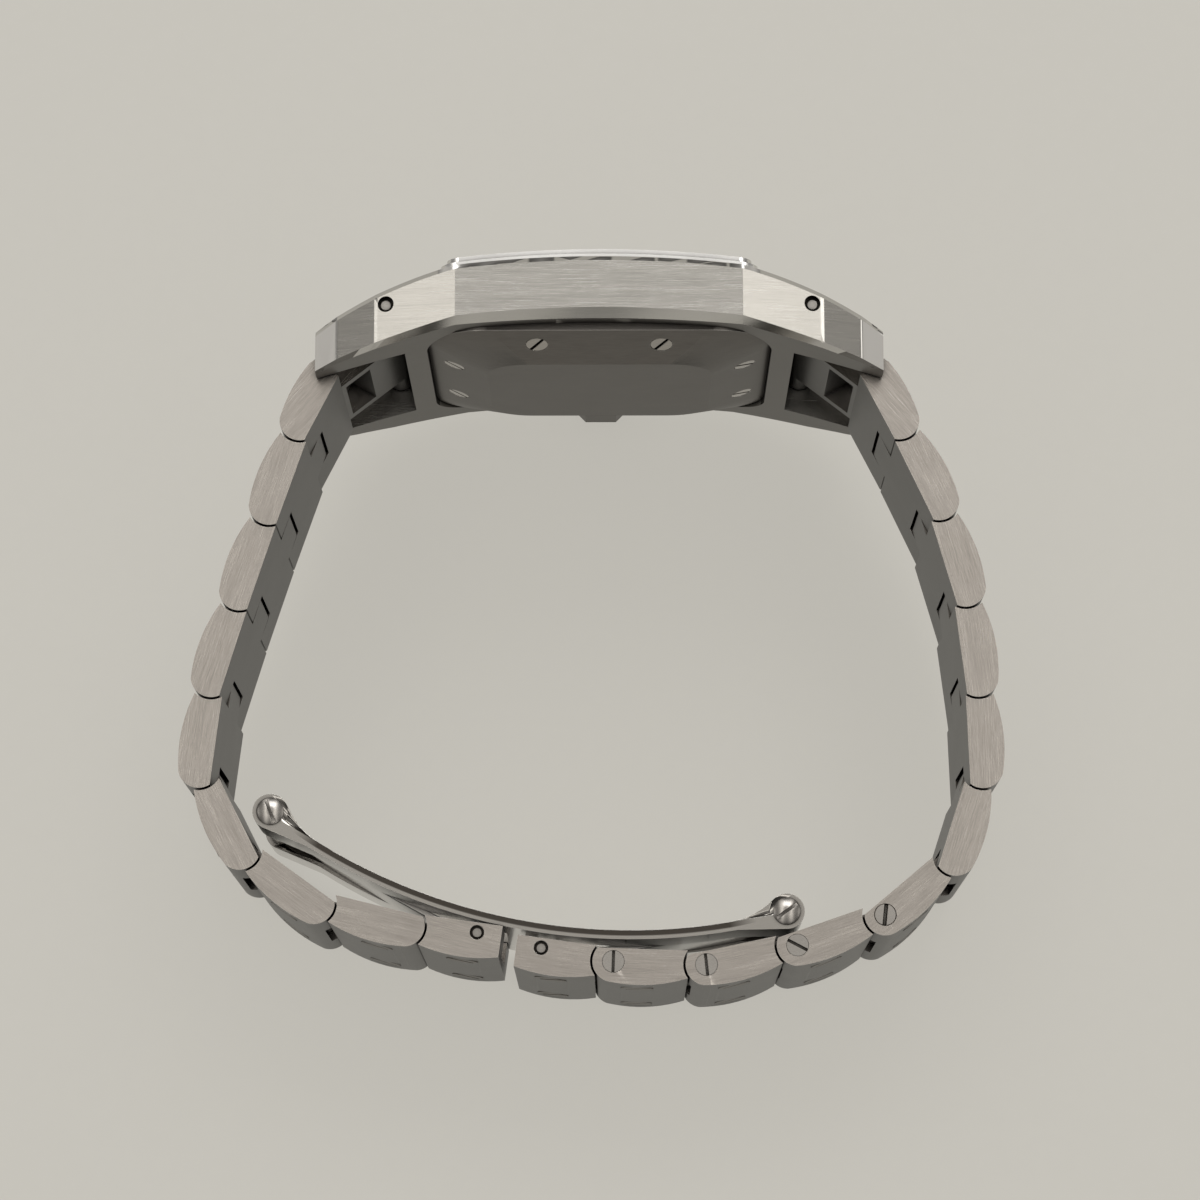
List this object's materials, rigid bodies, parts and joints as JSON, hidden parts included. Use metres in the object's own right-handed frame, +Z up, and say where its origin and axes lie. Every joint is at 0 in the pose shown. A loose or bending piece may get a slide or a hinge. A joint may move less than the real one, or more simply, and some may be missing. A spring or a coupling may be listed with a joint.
{
  "type": "wristwatch with link bracelet",
  "caption": "Square steel wristwatch with a screwed bezel, an arched case and a link bracelet that shuts with a hidden folding clasp.",
  "frame": {"origin": "middle of the flat of the case back", "axes": "+X towards 6 o'clock along the case's length, +Z up from the surface on which the watch lies on its crown side, +Y away from the clasp"},
  "size_m": [0.0591, 0.0565, 0.0325],
  "materials": {
    "satin_steel": "satin brushed",
    "polished_steel": "polished",
    "dial": "matte",
    "blued_steel": "polished",
    "crystal": "polished",
    "gasket": "matte",
    "movement": "satin"
  },
  "bodies": {
    "case": {"mid_case": "satin_steel", "bezel": "polished_steel", "bezel_screws": "polished_steel", "crystal": "crystal", "dial": "dial", "movement": "movement", "battery": "satin_steel", "case_back": "satin_steel", "case_back_gasket": "gasket", "case_back_screws": "polished_steel", "lug_bars": "polished_steel"},
    "stem_set": {"stem": "polished_steel"},
    "crown_set": {"crown": "polished_steel"},
    "hour": {"hour_hand": "blued_steel"},
    "minute": {"minute_hand": "blued_steel"},
    "seconds": {"seconds_hand": "blued_steel"},
    "blade": {"clasp_blade": "polished_steel", "clasp_hinge_screws": "polished_steel"},
    "arm_12": {"clasp_arm_12": "polished_steel"},
    "arm_6": {"clasp_arm_6": "polished_steel"},
    "chain_12_1": {"link_12_1": "satin_steel", "link_12_1_pins": "polished_steel"},
    "chain_12_2": {"link_12_2": "satin_steel", "link_12_2_pins": "polished_steel"},
    "chain_12_3": {"link_12_3": "satin_steel", "link_12_3_pins": "polished_steel"},
    "chain_12_4": {"link_12_4": "satin_steel", "link_12_4_pins": "polished_steel"},
    "chain_12_5": {"link_12_5": "satin_steel", "link_12_5_pins": "polished_steel"},
    "chain_12_6": {"link_12_6": "satin_steel", "link_12_6_pins": "polished_steel"},
    "chain_12_7": {"link_12_7": "satin_steel", "link_12_7_pins": "polished_steel"},
    "chain_12_8": {"link_12_8": "satin_steel", "link_12_8_pins": "polished_steel"},
    "chain_12_9": {"link_12_9": "satin_steel", "link_12_9_pins": "polished_steel"},
    "chain_6_1": {"link_6_1": "satin_steel", "link_6_1_pins": "polished_steel"},
    "chain_6_2": {"link_6_2": "satin_steel", "link_6_2_pins": "polished_steel"},
    "chain_6_3": {"link_6_3": "satin_steel", "link_6_3_pins": "polished_steel"},
    "chain_6_4": {"link_6_4": "satin_steel", "link_6_4_pins": "polished_steel"},
    "chain_6_5": {"link_6_5": "satin_steel", "link_6_5_pins": "polished_steel"},
    "chain_6_6": {"link_6_6": "satin_steel", "link_6_6_pins": "polished_steel"},
    "chain_6_7": {"link_6_7": "satin_steel", "link_6_7_pins": "polished_steel"},
    "chain_6_8": {"link_6_8": "satin_steel", "link_6_8_pins": "polished_steel"},
    "chain_6_9": {"link_6_9": "satin_steel", "link_6_9_pins": "polished_steel"},
    "chain_6_10": {"link_6_10": "satin_steel", "link_6_10_pins": "polished_steel"},
    "chain_6_11": {"link_6_11": "satin_steel", "link_6_11_pins": "polished_steel"}
  },
  "joints": [
    {"name": "clasp_open", "type": "hinge", "parent": "arm_12", "child": "blade", "pos_m": [-0.02352, -0.03215, -0.00616], "axis": [0, -0.188, 0.9822], "range_deg": [0, 110]},
    {"name": "lug_hinge_12", "type": "hinge", "parent": "case", "child": "chain_12_1", "pos_m": [-0.0153, 0.00314, 0.0006], "axis": [0, -0.188, 0.9822], "range_deg": [-14.5, 14]},
    {"name": "link_hinge_12_1", "type": "hinge", "parent": "chain_12_1", "child": "chain_12_2", "pos_m": [-0.0217, -0.00418, -0.0008], "axis": [0, -0.188, 0.9822], "range_deg": [-14.5, 48]},
    {"name": "link_hinge_12_2", "type": "hinge", "parent": "chain_12_2", "child": "chain_12_3", "pos_m": [-0.02385, -0.01031, -0.00197], "axis": [0, -0.188, 0.9822], "range_deg": [-7.5, 55]},
    {"name": "link_hinge_12_3", "type": "hinge", "parent": "chain_12_3", "child": "chain_12_4", "pos_m": [-0.02589, -0.01647, -0.00315], "axis": [0, -0.188, 0.9822], "range_deg": [-7.5, 55]},
    {"name": "link_hinge_12_4", "type": "hinge", "parent": "chain_12_4", "child": "chain_12_5", "pos_m": [-0.02782, -0.02267, -0.00434], "axis": [0, -0.188, 0.9822], "range_deg": [-16.5, 46]},
    {"name": "link_hinge_12_5", "type": "hinge", "parent": "chain_12_5", "child": "chain_12_6", "pos_m": [-0.02863, -0.02911, -0.00557], "axis": [0, -0.188, 0.9822], "range_deg": [-40.5, 22]},
    {"name": "link_hinge_12_6", "type": "hinge", "parent": "chain_12_6", "child": "chain_12_7", "pos_m": [-0.02563, -0.03488, -0.00668], "axis": [0, -0.188, 0.9822], "range_deg": [-33.5, 29]},
    {"name": "link_hinge_12_7", "type": "hinge", "parent": "chain_12_7", "child": "chain_12_8", "pos_m": [-0.02029, -0.03869, -0.00741], "axis": [0, -0.188, 0.9822], "range_deg": [-28, 34]},
    {"name": "link_hinge_12_8", "type": "hinge", "parent": "chain_12_8", "child": "chain_12_9", "pos_m": [-0.01389, -0.04026, -0.00771], "axis": [0, -0.188, 0.9822], "range_deg": [-12, 50.5]},
    {"name": "lug_hinge_6", "type": "hinge", "parent": "case", "child": "chain_6_1", "pos_m": [0.0153, 0.00314, 0.0006], "axis": [0, -0.188, 0.9822], "range_deg": [-14.5, 14]},
    {"name": "link_hinge_6_1", "type": "hinge", "parent": "chain_6_1", "child": "chain_6_2", "pos_m": [0.0217, -0.00418, -0.0008], "axis": [0, -0.188, 0.9822], "range_deg": [-54, 8]},
    {"name": "link_hinge_6_2", "type": "hinge", "parent": "chain_6_2", "child": "chain_6_3", "pos_m": [0.02449, -0.01005, -0.00193], "axis": [0, -0.188, 0.9822], "range_deg": [-47, 15]},
    {"name": "link_hinge_6_3", "type": "hinge", "parent": "chain_6_3", "child": "chain_6_4", "pos_m": [0.02631, -0.01629, -0.00312], "axis": [0, -0.188, 0.9822], "range_deg": [-47, 15]},
    {"name": "link_hinge_6_4", "type": "hinge", "parent": "chain_6_4", "child": "chain_6_5", "pos_m": [0.02712, -0.02272, -0.00435], "axis": [0, -0.188, 0.9822], "range_deg": [-51, 11.28]},
    {"name": "link_hinge_6_5", "type": "hinge", "parent": "chain_6_5", "child": "chain_6_6", "pos_m": [0.02735, -0.0292, -0.00559], "axis": [0, -0.188, 0.9822], "range_deg": [-36, 26]},
    {"name": "link_hinge_6_6", "type": "hinge", "parent": "chain_6_6", "child": "chain_6_7", "pos_m": [0.02531, -0.03536, -0.00677], "axis": [0, -0.188, 0.9822], "range_deg": [-24, 38.5]},
    {"name": "link_hinge_6_7", "type": "hinge", "parent": "chain_6_7", "child": "chain_6_8", "pos_m": [0.02025, -0.03953, -0.00757], "axis": [0, -0.188, 0.9822], "range_deg": [-35, 27.5]},
    {"name": "link_hinge_6_8", "type": "hinge", "parent": "chain_6_8", "child": "chain_6_9", "pos_m": [0.01401, -0.04164, -0.00797], "axis": [0, -0.188, 0.9822], "range_deg": [-49, 13.5]},
    {"name": "link_hinge_6_9", "type": "hinge", "parent": "chain_6_9", "child": "chain_6_10", "pos_m": [0.00755, -0.04299, -0.00823], "axis": [0, -0.188, 0.9822], "range_deg": [-42, 20]},
    {"name": "link_hinge_6_10", "type": "hinge", "parent": "chain_6_10", "child": "chain_6_11", "pos_m": [0.00096, -0.04276, -0.00819], "axis": [0, -0.188, 0.9822], "range_deg": [-50, 12]},
    {"name": "arm_hinge_12", "type": "hinge", "parent": "chain_12_9", "child": "arm_12", "pos_m": [-0.0087, -0.04073, -0.0078], "axis": [0, -0.188, 0.9822], "range_deg": [-60, 0.5]},
    {"name": "arm_hinge_6", "type": "hinge", "parent": "blade", "child": "arm_6", "pos_m": [0.0133, -0.03922, -0.00751], "axis": [0, -0.188, 0.9822], "range_deg": [-0.5, 110]},
    {"name": "crown_pull", "type": "slide", "parent": "case", "child": "stem_set", "axis": [0, 0.188, -0.9822], "range_m": [0, 0.001]},
    {"name": "crown_turn", "type": "hinge", "parent": "stem_set", "child": "crown_set", "pos_m": [0, 0.00717, -0.0139], "axis": [0, 0.188, -0.9822], "continuous": true},
    {"name": "minute_turn", "type": "hinge", "parent": "case", "child": "minute", "pos_m": [0, 0.0055, 0.00105], "axis": [0, -0.9822, -0.188], "continuous": true},
    {"name": "hour_turn", "type": "hinge", "parent": "case", "child": "hour", "pos_m": [0, 0.0055, 0.00105], "axis": [0, -0.9822, -0.188], "continuous": true},
    {"name": "seconds_turn", "type": "hinge", "parent": "case", "child": "seconds", "pos_m": [0, 0.0055, 0.00105], "axis": [0, -0.9822, -0.188], "continuous": true}
  ],
  "couplings": [
    {"joint": "lug_hinge_12", "follows": "clasp_open", "ratio": -0.12727},
    {"joint": "link_hinge_12_1", "follows": "clasp_open", "ratio": -0.12727},
    {"joint": "link_hinge_12_2", "follows": "clasp_open", "ratio": -0.063637},
    {"joint": "link_hinge_12_3", "follows": "clasp_open", "ratio": -0.063637},
    {"joint": "link_hinge_12_4", "follows": "clasp_open", "ratio": -0.14546},
    {"joint": "link_hinge_12_5", "follows": "clasp_open", "ratio": -0.36364},
    {"joint": "link_hinge_12_6", "follows": "clasp_open", "ratio": -0.3},
    {"joint": "link_hinge_12_7", "follows": "clasp_open", "ratio": 0.071366},
    {"joint": "link_hinge_12_8", "follows": "clasp_open", "ratio": 0.45455},
    {"joint": "lug_hinge_6", "follows": "clasp_open", "ratio": -0.12727},
    {"joint": "link_hinge_6_1", "follows": "clasp_open", "ratio": -0.30575},
    {"joint": "link_hinge_6_2", "follows": "clasp_open", "ratio": -0.044491},
    {"joint": "link_hinge_6_3", "follows": "clasp_open", "ratio": -0.03},
    {"joint": "link_hinge_6_4", "follows": "clasp_open", "ratio": 0.098},
    {"joint": "link_hinge_6_5", "follows": "clasp_open", "ratio": 0.19031},
    {"joint": "link_hinge_6_6", "follows": "clasp_open", "ratio": 0.34546},
    {"joint": "link_hinge_6_7", "follows": "clasp_open", "ratio": 0.24546},
    {"joint": "link_hinge_6_8", "follows": "clasp_open", "ratio": 0.11818},
    {"joint": "link_hinge_6_9", "follows": "clasp_open", "ratio": -0.03},
    {"joint": "link_hinge_6_10", "follows": "clasp_open", "ratio": -0.34164},
    {"joint": "arm_hinge_12", "follows": "clasp_open", "ratio": -0.45006},
    {"joint": "arm_hinge_6", "follows": "clasp_open", "ratio": 0.6},
    {"joint": "hour_turn", "follows": "minute_turn", "ratio": 0.083333},
    {"joint": "seconds_turn", "follows": "minute_turn", "ratio": 60}
  ]
}
